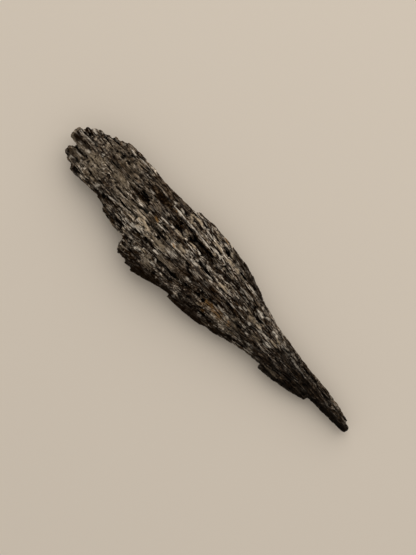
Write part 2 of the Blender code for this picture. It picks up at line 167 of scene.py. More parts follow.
ZONES = (
    worn(2.1, 0.45, (-18, -2.6), (-12, -3)),
    worn(1, 0.6, (-17, -5.2), (-12, -6.2), (-6, -7.2)),
    worn(1.9, 0.8, (-3, -6.9), (5, -7.6), (14, -7.8)),
    worn(1.3, 0.9, (-6, -2.6), (7.5, -2.5)),
    worn(1.6, 0.9, (10, -0.6), (13, 1.6), (24, 2.2)),
    worn(1, 0.6, (3.5, 4.4), (8, 4.6)),
    worn(1, 1, (19.5, -0.6), (26, -0.8)),
    worn(1.5, 1, (33.5, 0.7), (39.5, 0.6)),
    worn(1.2, 0.4, (11.5, 2.2), (17, 2.6)),
    worn(0.8, 0.5, (-4, -5.3), (3, -5.4)),
    worn(1.2, 0.6, (-0.5, -9), (8, -9.2)),
    worn(1.4, 0.35, (-24, 1), (-13, 3.4), (-4, 3.6)),
    worn(1.2, 0.5, (34.5, 4.2), (42, 3.8)),
    worn(1.4, 0.4, (8, 4.4), (18, 6.4)),
    calm(2.6, 1, (-32, 0.2), (-23, 1.6)),
    calm(1.3, 1, (-45, -0.9), (-33, -0.9)),
    calm(1, 0.7, (-43, -2.9), (-32, -3.1)),
    calm(1.2, 1, (-34, -1.7), (-22, -2.3)),
    calm(1.6, 0.6, (-20, 1.2), (-12, 1.8)),
    calm(0.9, 0.8, (-9, -0.6), (-1, -0.3), (6, 0.9)),
    calm(0.9, 0.45, (4, -4.9), (11, -5.1), (20, -5.2)),
    calm(0.9, 0.6, (8, 0.8), (12, 0.8)),
    calm(1.2, 0.6, (1, 1.2), (9.5, 1.6)),
    calm(0.9, 0.6, (-1.5, -0.9), (4.5, -0.8)),
    calm(0.8, 0.4, (9.5, -2.3), (14.5, -2.3)),
    calm(0.8, 0.7, (-20.5, -0.8), (-16, -0.9)),
    calm(0.9, 0.7, (29.5, 0.8), (34, 0.9)),
    calm(0.9, 1, (39.5, 2.3), (44, 2.4)),
    calm(1.6, 1, (14.5, -8.2), (24, -7.8)),
    calm(1.4, 0.4, (28, -7.8), (38, -6.8)),
    calm(1.2, 0.8, (17, -6), (23.5, -5.6)),
    calm(1.4, 0.6, (14, -4.2), (19, -4.2)),
    calm(1.1, 0.9, (18.5, -2.4), (25, -3)),
    calm(1.2, 0.5, (-10, 6.2), (3, 7.4), (15, 9.6)),
    calm(1, 1, (-14.6, -4.7), (-11.2, -4.9)),
    calm(1.6, 0.4, (-20, -3.2), (-14, -3.4)),
    calm(1, 0.8, (-11, -2.3), (-6.5, -2.5)),
    calm(0.9, 0.6, (-11, -5.4), (-6, -6)),
    calm(0.9, 0.5, (-1, 2.2), (6, 2.6)),
    calm(0.9, 0.6, (-1, 3.4), (3, 3.8)),
    calm(1.1, 0.9, (30, -3.7), (34, -3.8)),
    calm(1.4, 0.4, (40, -1.4), (44, -1.6)),
    calm(0.9, 0.7, (29, 4.2), (32.5, 4.3)),
    crumbly(2.8, 1, (-9, 3.6), (4, 5), (17, 6.6)),
    crumbly(3.2, 1, (31, -0.4), (38, -0.6)),
    crumbly(2.2, 0.8, (30, -5.6), (37, -5.6)),
    crumbly(1.6, 0.7, (33, 3.2), (40, 3)),
    crumbly(1, 0.7, (19, -5), (27, -5.6)),
    dusty(3.2, 1, (35, 0.4), (41, 0)),
    dusty(2.4, 1, (21, 1.6), (28, -0.6)),
    dusty(2.2, 1, (26, -5.6), (38, -5.2)),
    dusty(1.4, 1, (28, -8), (35, -7.8)),
    dusty(1.4, 0.9, (35, 3.6), (42.5, 3)),
    dusty(1.6, 1, (5.5, 4.2), (14, 5.6), (21, 4.8)),
    dusty(1.2, 1, (-2.5, -2.2), (4.5, -2.2)),
    dusty(1.2, 0.9, (35.5, -3.6), (40, -3.5)),
    dusty(1.2, 0.9, (9.5, -8.2), (14.5, -8)),
    dusty(1, 0.9, (25, -4.6), (29, -5)),
    dusty(1.4, 1, (13, 1.1), (22, 2.4)),
    dusty(1.8, 0.9, (-8, -6.6), (2, -7.2), (14, -8)),
    dusty(1.8, 1, (16, -8.2), (26, -7.6)),
    dusty(1, 0.8, (-24, -4.2), (-16, -5.4), (-8, -6.8)),
    dusty(1.2, 0.5, (-16, -2.2), (-4, -2.4), (8, -2)),
    dusty(1, 0.6, (12, -3.8), (22, -4.2)),
    dusty(0.9, 0.5, (-43, -3), (-30, -3.6)),
    dusty(1, 0.7, (-12, 2.4), (-1, 2.6)),
    clay(2.2, 0.42, (35.5, 0.8), (40.5, 0.4)),
    clay(1.6, 0.22, (28.5, -1.4), (33, -2)),
    clay(1.6, 0.3, (24, 1), (28, 0.2)),
    clay(1.2, 0.25, (28, -5.2), (37, -5.3)),
    clay(1, 0.22, (9.5, -0.7), (14, -0.6), (23.5, -0.9)),
    clay(1.4, 0.22, (12, 1.2), (22, 1.6)),
    # dark zones at positive Y lie on faces turned from the light and are painted shade; the others are
    # black blades
    dark_and_shade(1, 0.35, (-22, 2.6), (-13, 3.6)),
    dark_and_shade(1.2, 0.45, (-40, -2.1), (-31, -2.3), (-23, -2.3)),
    dark_and_shade(1.1, 0.6, (-30, -3.5), (-23.5, -3.7)),
    dark_and_shade(0.65, 0.8, (-12.5, -6.7), (-9.2, -7.5), (-4.6, -8.7), (1, -9.7)),
    dark_and_shade(0.9, 0.55, (-18, 1.4), (-14, 2), (-10.5, 2.1)),
    dark_and_shade(0.7, 0.35, (31.5, -4), (34, -4.1)),
    dark_and_shade(0.9, 0.55, (-7, 4.4), (-2, 4.8), (3, 5)),
    dark_and_shade(0.8, 0.3, (2, 1.1), (9, 1.5)),
    dark_and_shade(0.6, 0.35, (40, 2.3), (43.5, 2.4)),
    dark_and_shade(0.9, 0.25, (14, 7.4), (19, 7.6)),
    dark_and_shade(0.6, 0.5, (-11.5, -8), (-7.5, -8.7)),
)
SPOTS = (
    # the root. Its dark spots, on top of the spike and along its edge at positive Y, are painted shade on
    # faces turned from the light
    dark_and_shade(0.95, 1, (-45, -0.8), (-34, -0.6)),
    dark_and_shade(1.3, 0.8, (-45, -1.4), (-43, -1.2)),
    dark_and_shade(0.9, 0.7, (-33.4, 0.4), (-30, 1.3), (-26, 2.8), (-21.5, 3.6)),
    dark_and_shade(1.2, 0.5, (-33, 0), (-21, 0.6)),
    clay(0.3, 0.5, (-25.5, 2.2), (-21.5, 2.2)),
    pale_and_glint(0.13, 0.6, (-30, -2.6), (-25, -2.9)),
    pale_and_glint(0.13, 0.45, (-27.8, -2.8), (-24.7, -3.1), (-20.7, -4)),
    pale_and_glint(0.13, 0.6, (-25.4, -3.1), (-21, -3.4)),
    pale_and_glint(0.12, 0.35, (-24.5, -3.7), (-20.7, -4.4)),
    cream(0.17, 0.6, (-20.8, -2.3), (-18.5, -2.5)),
    pale_and_glint(0.2, 0.6, (-18, -2.3), (-15.3, -2.05)),
    pale_and_glint(0.15, 0.7, (-19.2, -0.75), (-17.9, -0.75)),
    pale_and_glint(0.17, 0.8, (-19.5, -1.4), (-18.2, -1.3)),
    cream(0.25, 0.7, (-20.4, -3.2), (-19.3, -3.7)),
    pale_and_glint(0.25, 1, (-18.8, -4.05), (-17.5, -4.15)),
    clay(0.45, 0.8, (-16.4, -0.4), (-15, -0.35)),
    cream(0.2, 0.8, (-17.4, 2.25), (-16.3, 2.25)),
    pale_and_glint(0.17, 0.8, (-16.6, 3.05), (-16.3, 3.05)),
    pale_and_glint(0.17, 0.8, (-16.1, 1.75), (-15.8, 1.75)),
    pale_and_glint(0.17, 0.6, (-13.9, 0.5), (-13.5, 0.5)),
    # white patch and its neighbours
    pale_and_glint(0.27, 1, (-13.4, -4.5), (-12.6, -4.6), (-11.95, -4.75)),
    pale_and_glint(0.12, 0.5, (-14.1, -5), (-12.1, -5)),
    pale_and_glint(0.22, 0.9, (-14.8, -5.3), (-14.1, -5.15)),
    cream(0.32, 0.8, (-14.6, -2.4), (-14.1, -2.7)),
    cream(0.17, 0.8, (-15, -3.3), (-14.7, -3.4)),
    pale_and_glint(0.22, 0.8, (-12.8, -1.3), (-12.2, -1.35)),
    clay(0.4, 0.9, (-13, -2.6), (-11.7, -2.6)),
    clay(0.35, 0.6, (-11.2, -3.1), (-10.3, -3.4)),
    pale_and_glint(0.2, 0.7, (-10.6, -4.35), (-10.1, -4.35)),
    pale_and_glint(0.16, 0.6, (-9.9, -2.85), (-9.1, -2.85)),
    pale_and_glint(0.16, 0.6, (-9, -2.3), (-8.4, -2.3)),
    pale_and_glint(0.16, 0.6, (-7.5, -1.3), (-6.6, -1.3)),
    pale_and_glint(0.15, 0.6, (-9, -4.4), (-6, -4.75)),
    pale_and_glint(0.2, 0.5, (-9.2, -5.4), (-5.4, -5.45)),
    hollow(0.3, 0.6, (-14.4, -3.5), (-11.6, -3.5)),
    # ochre side
    clay(0.9, 0.25, (-12, 2.4), (-5, 3.6)),
    ochre(0.28, 0.7, (-9.8, 2.3), (-9, 1.7)),
    ochre(0.3, 1, (-4.6, 2.2), (-3.4, 2.35), (-2.1, 2.3)),
    ochre(0.8, 0.5, (-6.8, 2.3), (-2.4, 2.6)),
    ochre(0.28, 0.7, (-3.6, 4.4), (-3.2, 4.4)),
    ochre(0.3, 0.6, (-8.6, 5.4), (-8, 5.4)),
    clay(0.4, 0.6, (-6.8, 5.9), (-5, 6.3)),
    cream(0.25, 0.7, (-6.3, 2), (-5.9, 2.1)),
    cream(0.2, 0.7, (-2.1, 4.15), (-1.4, 4.1)),
    cream(0.22, 0.7, (-8.3, 1.9), (-7.8, 1.7)),
    clay(0.2, 0.9, (-10.1, -0.2), (-9.4, 0.6), (-8.8, 1.1)),
    pale_and_glint(0.18, 0.6, (-8.3, 1.05), (-5, 1)),
    clay(0.25, 0.7, (-11.6, 1.7), (-10.2, 1)),
    hollow(0.25, 0.9, (-8.2, 0.5), (-4.6, 0.5)),
    hollow(0.25, 1, (-1.9, 2.65), (-1.7, 2.65)),
    # the dark spots along the rim at positive Y are painted shade on faces turned from the light
    dark_and_shade(0.8, 1, (-12, 4.3), (-8, 5.5)),
    dark_and_shade(0.75, 1, (-8, 6.2), (-3, 6.9), (0, 7.7), (2.8, 7.9)),
    dark_and_shade(0.75, 0.7, (-5, 5.4), (2.5, 6.8)),
    pale_and_glint(0.15, 0.7, (3.3, 7.2), (3.3, 6.5)),
    dark_and_shade(0.8, 1, (4.6, 7.2), (9, 8.5), (15.5, 9.8), (19, 9.5)),
    dark_and_shade(0.6, 0.7, (6, 6.8), (14, 8.3)),
    # the middle, on the dark side of the crest
    pale_and_glint(0.17, 0.9, (3, 2), (4.1, 2)),
    clay(0.7, 0.6, (8.2, 3.3), (9.2, 3.1)),
    clay(0.6, 0.7, (10, 3.5), (11.4, 3.6)),
    pale_and_glint(0.24, 1, (12.4, 3.1), (13.3, 3.15)),
    pale_and_glint(0.2, 0.7, (11.3, 4.8), (11.8, 4.3)),
    pale_and_glint(0.2, 0.6, (10.9, 5.55), (12.1, 5.55)),
    clay(0.6, 0.6, (12.4, 5.4), (13.6, 5.6)),
    clay(0.5, 0.6, (11.4, 6.6), (13, 6.8)),
    cream(0.17, 0.8, (14.7, 5.1), (15.6, 5.05)),
    pale_and_glint(0.25, 0.9, (15.6, 5.65), (16.8, 5.8)),
    pale_and_glint(0.22, 0.6, (18.9, 5.2), (19.2, 5.2)),
    clay(0.3, 0.6, (20.3, 5.5), (21.4, 5.4)),
    clay(0.5, 0.5, (18.5, 7.2), (18.9, 8.4)),
    pale_and_glint(0.14, 0.6, (20.4, 4.3), (22.4, 4.4)),
    hollow(0.3, 0.8, (14.8, 2.75), (16.8, 2.85)),
    hollow(0.3, 0.8, (22.3, 4.9), (24.6, 4.9)),
    dark_and_shade(0.6, 0.7, (15.5, 3.9), (19.5, 3.7)),
    # the tan patch and its border
    clay(0.5, 1, (11.8, 1.6), (13.6, 1.2)),
    clay(0.3, 0.9, (13.6, 1.6), (15.8, 1.6)),
    cream(0.13, 0.8, (12, 2.15), (14, 2.25), (16.5, 2.3), (17.8, 2.55)),
    pale_and_glint(0.18, 0.9, (17.8, 2.6), (20, 2.95), (21.5, 3.35), (22.8, 3.25), (23.3, 3.8)),
    cream(0.18, 0.7, (11, 1.9), (11.4, 1.2)),
    hollow(0.25, 0.9, (12, 0.6), (15.4, 0.75)),
    dark_and_shade(0.6, 0.6, (13.6, 0), (19, -0.4)),
    cream(0.2, 0.8, (17, 1.2), (17.7, 1.2)),
    cream(0.38, 1, (17.9, 1.4), (18.9, 1), (19.8, 0.6), (20.2, 0.1)),
    cream(0.22, 0.9, (20, 2.4), (19.5, 1.8), (19.1, 1.3)),
    cream(0.22, 0.8, (20, 1.2), (21.1, 0.9)),
    cream(0.24, 0.8, (21.5, 1.6), (22.9, 2.1)),
    cream(0.22, 0.7, (21, 0.1), (22.4, 0.1)),
    clay(0.3, 0.7, (22.9, 0.4), (25, 0.1)),
    clay(0.4, 0.6, (20.4, -0.7), (23, -0.7)),
    clay(0.17, 0.6, (18.9, -1.9), (19.6, -1.1), (20.8, -0.9)),
    clay(0.17, 0.7, (20.2, -2.4), (22.5, -2.3), (23.6, -1.5), (24, -0.4)),
    ochre(0.22, 0.9, (10.9, -0.5), (11.8, -0.8)),
    ochre(0.22, 0.9, (17.5, -1.6), (18.6, -1.75)),
    ochre(0.2, 0.9, (16.4, -6.1), (17.2, -6.1)),
    cream(0.28, 0.8, (13.3, -0.8), (13.9, -1)),
    clay(0.2, 0.7, (12.4, -1.8), (13.3, -1.3)),
    clay(0.6, 0.6, (8.6, -1), (10.4, -1)),
    cream(0.24, 0.7, (8.8, -1.6), (10.4, -1.8)),
    pale_and_glint(0.17, 0.7, (11.3, -1), (12.3, -1)),
    pale_and_glint(0.15, 1, (14.8, -1.4), (16.9, -1.35)),
    # streaks on the light side of the crest
    pale_and_glint(0.17, 0.8, (4.7, -1.4), (7.4, -1.3)),
    pale_and_glint(0.2, 1, (7.2, -2.2), (8.3, -2.2)),
    pale_and_glint(0.15, 0.7, (0.2, -1.8), (3, -1.9)),
    pale_and_glint(0.15, 0.7, (1.8, -3), (3.1, -3)),
    pale_and_glint(0.14, 0.6, (3.8, -2.7), (4.6, -2.7)),
    cream(0.15, 0.7, (0.8, -3.4), (1.6, -3.4)),
    pale_and_glint(0.17, 1, (6, -3.5), (6.8, -3.95), (7.4, -4)),
    cream(0.15, 0.8, (7.7, -3.8), (9.4, -3.6)),
    cream(0.3, 0.9, (11.3, -3.4), (13.6, -3.45)),
    pale_and_glint(0.18, 1, (14.3, -3.3), (14.9, -3.1)),
    pale_and_glint(0.2, 1, (15.8, -3.05), (16.3, -2.95)),
    pale_and_glint(0.15, 0.8, (16.3, -2.9), (17.6, -2.8)),
    cream(0.28, 0.8, (10.9, -4.1), (11.2, -4.6), (11.9, -4.8)),
    hollow(0.3, 0.8, (12.4, -4.1), (14.2, -3.9)),
    cream(0.28, 1, (-4.6, -2.15), (-3.5, -2.5), (-1.7, -2.4)),
    cream(0.18, 0.8, (-3.6, -2.85), (-2.6, -3)),
    clay(0.2, 0.8, (-5, -3.7), (-3.2, -3.9)),
    pale_and_glint(0.2, 0.6, (-0.8, -3.7), (-0.7, -4.3)),
    cream(0.18, 0.7, (2, -4.4), (2.1, -4.4)),
    hollow(0.35, 0.55, (-2.8, -4.4), (1.4, -4.6), (5, -5.1), (10, -5.2)),
    hollow(0.35, 0.7, (0.5, -3.7), (3, -3.9), (6, -4.4), (10, -4.4)),
    cream(0.2, 0.8, (-2.7, -5.5), (-1.3, -5.5)),
    cream(0.24, 1, (-0.5, -5.5), (0.3, -5.45)),
    cream(0.18, 0.7, (2.6, -5.1), (3.1, -5.3)),
    cream(0.24, 0.8, (3.7, -5.95), (4.2, -6)),
    # the loops along the light rim
    pale_and_glint(0.12, 0.9, (2.6, -6.6), (4.8, -6.65), (5.8, -6.4), (6.1, -6.1)),
    hollow(0.3, 0.9, (3, -7.1), (5.9, -7.15)),
    cream(0.2, 1, (3.1, -7.5), (4.5, -7.8), (6.1, -7.7)),
    cream(0.28, 0.8, (-2.6, -7.2), (-1.6, -7.4)),
    cream(0.3, 0.9, (-0.8, -7.4), (0.2, -7.5), (1.2, -7.1)),
    pale_and_glint(0.2, 0.8, (-8.9, -6.8), (-6.3, -7.2)),
    clay(0.18, 0.7, (-4.8, -7.15), (-3.8, -7.15)),
    hollow(0.22, 0.9, (-8, -7.5), (-3, -7.5)),
    cream(0.2, 0.8, (0.5, -8.2), (1.5, -8.9), (1.2, -9.6)),
    hollow(0.4, 0.8, (1.5, -8.1), (2.5, -8.8)),
    cream(0.17, 0.7, (-0.3, -9.65), (0.9, -9.65)),
    ochre(0.2, 0.6, (3.6, -9.9), (5, -10.1)),
    cream(0.22, 0.7, (5.7, -9.1), (7.2, -9.7)),
    pale_and_glint(0.17, 0.7, (6.9, -8), (8.4, -8.3), (9.2, -8.8)),
    pale_and_glint(0.13, 1, (6.2, -6.15), (8.5, -6.3), (11.6, -6.4)),
    cream(0.16, 0.9, (8, -6.75), (9.5, -7), (12.6, -7.2)),
    dark_and_shade(0.16, 0.8, (7, -6.5), (9.5, -6.65), (12.2, -6.75)),
    pale_and_glint(0.12, 1, (12, -6.45), (14, -6.5), (17.7, -6.65)),
    cream(0.3, 0.9, (12.5, -6.8), (12.8, -7.4), (13.6, -7.8), (13.5, -8.3)),
    cream(0.2, 1, (13.6, -8.3), (12.4, -8.45), (11, -8.5), (10.2, -8.3)),
    hollow(0.35, 0.8, (10, -7.5), (12.4, -7.7)),
    pale_and_glint(0.15, 0.6, (14.5, -7), (16.2, -7.3)),
    pale_and_glint(0.2, 0.8, (17.9, -7.3), (18.3, -7.3)),
    clay(0.25, 0.6, (19.1, -3.7), (21.8, -3.9)),
    # the head
    hollow(0.45, 0.45, (22.5, -3.2), (24.1, -3.4)),
    clay(0.22, 0.5, (22, -4.2), (24.2, -4.2)),
    pale_and_glint(0.14, 0.5, (22.8, -5.1), (23.9, -5.1)),
    dark_and_shade(0.5, 0.45, (25.4, -4.6), (27.5, -5.8)),
    pale_and_glint(0.13, 0.8, (27.4, 2.4), (29.7, 2.85)),
    pale_and_glint(0.12, 0.5, (25.1, 1.9), (27.5, 2.3)),
    hollow(0.2, 0.8, (26, 3), (30, 3.5)),
    clay(0.8, 0.7, (29.2, -1.7), (31.3, -2.1)),
    cream(0.18, 0.6, (30.4, -0.4), (30.8, -0.3)),
    clay(0.5, 0.5, (27.2, -2.8), (28.4, -3.4)),
    clay(1, 1, (35.4, 0.4), (36.3, -0.7), (37.6, -0.2)),
    clay(0.45, 0.9, (35.1, -1.5), (35.8, -2)),
    pale_and_glint(0.22, 0.9, (36.4, -2.4), (36.6, -2.6)),
    pale_and_glint(0.22, 0.6, (38.8, 2.2), (38.9, 1.9)),
    pale_and_glint(0.17, 0.6, (39.6, 1.4), (41.3, 1)),
    pale_and_glint(0.25, 0.5, (39.2, -0.7), (39.5, -0.8)),
    pale_and_glint(0.2, 0.6, (41.6, -0.6), (42.1, -0.8)),
    pale_and_glint(0.25, 0.6, (32.7, 3.3), (32.3, 2.5)),
    cream(0.3, 0.5, (34.2, 2.8), (34.8, 2.8)),
    cream(0.2, 0.7, (35.7, 3.6), (35.8, 3.4)),
    hollow(0.22, 0.9, (32.2, 1.85), (33.1, 1.9)),
    hollow(0.17, 0.8, (33.8, 2.2), (36, 2.2)),
    hollow(0.35, 0.8, (38.1, 4), (38.8, 4.3)),
    pale_and_glint(0.15, 0.6, (40.2, 2.6), (41.2, 2.8), (41.2, 3.5)),
    hollow(0.25, 1, (39.6, 0.75), (42.4, 0.85)),
    clay(0.22, 0.9, (43.4, -0.1), (44.5, -0.4), (44.65, -2.6)),
    pale_and_glint(0.17, 0.5, (39, -2.95), (41, -2.6), (43.8, -2.5)),
    dark_and_shade(0.65, 0.85, (40, -1.3), (43.8, -1.2)),
    hollow(0.3, 0.9, (41.8, -3.3), (42.4, -3.5)),
    pale_and_glint(0.2, 0.8, (41.2, -4.7), (42.8, -4.8)),
    dark_and_shade(0.3, 0.8, (40, -5.6), (42.2, -5.5)),
    hollow(0.4, 0.8, (36.4, -6.9), (38.6, -6.7)),
    pale_and_glint(0.14, 0.8, (36.4, -7), (37.6, -7)),
    pale_and_glint(0.15, 0.8, (31.6, -7.85), (33, -7.95)),
    pale_and_glint(0.15, 0.7, (33, -6), (34.3, -6.05)),
    clay(0.4, 0.7, (30.8, -5.6), (31.4, -5.8)),
    clay(0.3, 0.7, (29.6, -7.1), (31.2, -7.1)),
    pale_and_glint(0.15, 0.6, (28, -8.1), (30.7, -8.15)),
    pale_and_glint(0.2, 0.6, (35.2, -7.6), (35.6, -7.6)),
)
MARK_RAGGEDNESS = 1.1  # how far a spot's edge wanders, as a share of its width
MARK_EDGE_NOISE = (1.6, 0.35, 5.0, 3)
ZONE_EDGE = (1.5, 0.3)  # how far from its path a zone fades out, and where it is full, in its widths
SPOT_EDGE = (1.25, 0.6)
MARKED_SIDE = (-0.6, 0.0)  # which faces get marks: none that point further down than the first
HOLLOW_DEPTH = 0.5  # the deepest hollow. A narrow one is as deep as its width


def path_distance(points, path):
    """How far each point is from a path, seen from above."""
    nearest = np.full(len(points), np.inf)
    for start, end in zip(np.array(path[:-1]), np.array(path[1:])):
        run = end - start
        share = np.clip((points[:, :2] - start) @ run / (run @ run), 0.0, 1.0)
        off = points[:, :2] - start - share[:, None] * run
        nearest = np.minimum(nearest, np.linalg.norm(off, axis=1))
    return nearest


def mark_masks(points, normals, grain):
    """For each kind of mark, how much of it every point has, from 0 to 1, and how far marks sink it."""
    ragged = grained_noise(grain, *MARK_EDGE_NOISE) * MARK_RAGGEDNESS
    on_top = smooth_step(normals[:, 2], *MARKED_SIDE)
    masks = {kind: np.zeros(len(points)) for kind in KINDS}
    sunk = np.zeros(len(points))
    for marks, (outer, full), wander in ((ZONES, ZONE_EDGE, 0.0), (SPOTS, SPOT_EDGE, ragged)):
        for kind, width, strength, path in marks:
            off = path_distance(points, path) / width
            inside = smooth_step(-off - wander, -outer, -full) * strength * on_top
            masks[kind] = np.maximum(masks[kind], inside)
            if kind == "hollow":
                sunk = np.maximum(sunk, inside * min(HOLLOW_DEPTH, width))
    return masks, sunk


# ---- settings

class KyaniteFormSettings(bpy.types.PropertyGroup):
    splinters: IntProperty(
        name="Splinters", description="How many small blades are laid on the fan", default=1500, min=0)
    splinter_length: FloatProperty(
        name="Splinter length", description="The longest small blade", default=6.5 * MM, unit="LENGTH")
    splinter_width: FloatProperty(
        name="Splinter width", description="The widest small blade", default=0.8 * MM, unit="LENGTH")
    detail: FloatProperty(
        name="Detail", description="The size of the surface's facets, across the blades",
        default=0.148 * MM, unit="LENGTH", precision=5)
    ledge: FloatProperty(
        name="Ledges", description="How far neighbouring blades stand apart",
        default=0.16 * MM, unit="LENGTH", precision=5)
    groove: FloatProperty(
        name="Grooves", description="The depth of the grooves along the blades",
        default=0.09 * MM, unit="LENGTH", precision=5)
    pit: FloatProperty(
        name="Pits", description="The depth of the pits where crystals have broken out",
        default=0.4 * MM, unit="LENGTH", precision=5)


class KyaniteColourSettings(bpy.types.PropertyGroup):
    # black is also the colour of the painted shade in dark marks, hollows and gaps
    black: FloatVectorProperty(
        name="Black", description="Clean, unweathered blades", subtype="COLOR",
        default=(0.0074, 0.0033, 0.0007), min=0, max=1)
    soot: FloatVectorProperty(
        name="Soot", description="Clean blades in the root", subtype="COLOR",
        default=(0.0058, 0.0043, 0.003), min=0, max=1)
    brown: FloatVectorProperty(
        name="Brown", description="Weathered blades", subtype="COLOR",
        default=(0.043, 0.0252, 0.0118), min=0, max=1)
    dust: FloatVectorProperty(
        name="Dust", description="Dusty, duller blades", subtype="COLOR",
        default=(0.118, 0.089, 0.062), min=0, max=1)
    grey: FloatVectorProperty(
        name="Grey", description="Worn streaks", subtype="COLOR", default=(0.3, 0.25, 0.195), min=0, max=1)
    clay: FloatVectorProperty(
        name="Clay", description="Filling between the blades", subtype="COLOR",
        default=(0.225, 0.178, 0.122), min=0, max=1)
    cream: FloatVectorProperty(
        name="Cream", description="Light crusts", subtype="COLOR", default=(0.46, 0.37, 0.26), min=0, max=1)
    # pale is also the colour of the painted glints on the brightest streaks
    pale_and_glint: FloatVectorProperty(
        name="Pale", description="Fractured edges", subtype="COLOR",
        default=(0.61, 0.55, 0.465), min=0, max=1)
    ochre: FloatVectorProperty(
        name="Ochre", description="Rust stains", subtype="COLOR", default=(0.26, 0.14, 0.045), min=0, max=1)


class KyaniteStageSettings(bpy.types.PropertyGroup):
    floor: FloatVectorProperty(
        name="Table", description="The colour of the table", subtype="COLOR",
        default=(0.69, 0.625, 0.54), min=0, max=1)
    eye_height: FloatProperty(
        name="Eye height", description="How far the camera is above the fan's middle",
        default=350 * MM, unit="LENGTH")
    view_height: FloatProperty(
        name="View height", description="The height of the stretch in view",
        default=123.5 * MM, unit="LENGTH")


# ---- modelling helpers

def pick(*things):
    """Selects these objects and nothing else, and makes the first one active."""
    bpy.ops.object.select_all(action="DESELECT")
    for thing in things:
        thing.select_set(True)
    bpy.context.view_layer.objects.active = things[0]


def take_vertices(mesh, wanted):
    """Goes into edit mode with those vertices of the mesh selected that pass a test of their place."""
    bpy.ops.object.mode_set(mode="EDIT")
    bpy.ops.mesh.select_all(action="DESELECT")
    bpy.ops.object.mode_set(mode="OBJECT")
    for vertex in mesh.vertices:
        vertex.select = wanted(vertex.co)
    bpy.ops.object.mode_set(mode="EDIT")


# ---- splinters

# A splinter is shaped from a cube of one millimetre, cut in three each way. It starts narrow, and then
# these of its points are moved this far.
SPLINTER_START = 0.35
SPLINTER_MOVES = (
    (lambda co: co.x < -0.1 and co.z > 0.4, (0, 0, -0.25)),  # its upper side comes down to its start
    (lambda co: abs(co.y) > 0.15 and co.z > 0.2, (0, 0, -0.16)),  # its upper edges are chamfered
    (lambda co: co.x > 0.4 and co.y > 0.1, (0.12, 0, -0.1)),  # its end is broken at a slant
    (lambda co: co.x > 0.4 and co.z < -0.1, (-0.06, 0, 0)),  # and undercut
)

# Where splinters lie: along the fan, and how far round it, in turns from its upper side.
SPLINTER_SEED = 23
SPLINTER_FIELD = (-41.0, 41.0)
UPPER_SHARE = 0.62  # the share of them that is laid on the upper side
UPPER_TURNS, LOWER_TURNS = (-0.17, 0.17), (0.12, 0.88)
ABOVE = 40.0  # a distance well clear of the fan
AXIS_ASIDE = 1.4  # how far the line that splinters are cast towards leaves the apex line, at the head
AXIS_LOW, AXIS_RISE = 1.6, 1.8  # its height where the fan has no width, and its rise from there
CAST_WIDTH = 4.0  # how far to either side of it they are cast, at the head
REACH = 0.92  # where a splinter's end is cast, as a share of its length

SHORTEST = 0.22  # the shortest and narrowest splinter, as a share of the longest and widest
LENGTH_SKEW, WIDTH_SKEW = 2, 1.3  # the higher, the fewer long and wide ones
LENGTH_RANGE = (0.6, 1.0)
THICKNESS = 0.85  # a splinter's thickness, as a share of its width
STAND_OUT = 0.34  # and the most of that which stands out of the surface
STAND_RANGE = (0.5, 1.0)
ROLL = 0.22  # how far it is rolled about its length, in radians

# A splinter isn't laid where the fan bends away, across a steep step, or where one of its corners would
# stand further than OVERHANG from the fan or outside its outline.
LEAST_RUN = 0.5  # as a share of its length
STEEPEST, STEP_ROOM = 0.35, 0.4
OVERHANG = 0.45
CORNERS_ALONG = (-0.5, 0.0, 0.55)  # from its middle, as shares of its length
CORNERS_ACROSS = (-0.4, 0.4)  # and of its width


def model_splinter():
    """One small blade: narrow and thin where it starts, chamfered, with a broken end."""
    bpy.ops.object.select_all(action="DESELECT")
    bpy.ops.mesh.primitive_cube_add(size=1.0)
    splinter = bpy.context.object
    mesh = splinter.data
    bpy.ops.object.mode_set(mode="EDIT")
    bpy.ops.mesh.select_mode(type="VERT")
    bpy.ops.mesh.select_all(action="SELECT")
    bpy.ops.mesh.subdivide(number_cuts=2)
    take_vertices(mesh, lambda co: co.x < -0.4)
    bpy.ops.transform.resize(value=(1, SPLINTER_START, 1))
    for wanted, move in SPLINTER_MOVES:
        take_vertices(mesh, wanted)
        bpy.ops.transform.translate(value=move)
    bpy.ops.object.mode_set(mode="OBJECT")
    return splinter


def is_over(surface, place):
    """Whether a place is over the fan, seen from above."""
    above = Vector((place.x, place.y, ABOVE * MM))
    return surface.ray_cast(above, Vector((0, 0, -1)))[0] is not None


def cast_at(surface, x, turn, sideways):
    """Where a line from outside meets the fan at x, and which way it faces there."""
    fan = float(spread(np.array(x)))
    middle = Vector((x, APEX_Y + AXIS_ASIDE * fan, AXIS_LOW + AXIS_RISE * fan))
    middle.y += sideways * CAST_WIDTH * fan
    angle = turn * math.tau
    away = Vector((0.0, math.sin(angle), math.cos(angle)))
    place, normal, _, _ = surface.ray_cast((middle + away * ABOVE) * MM, -away)
    return None if place is None else (place / MM, normal)


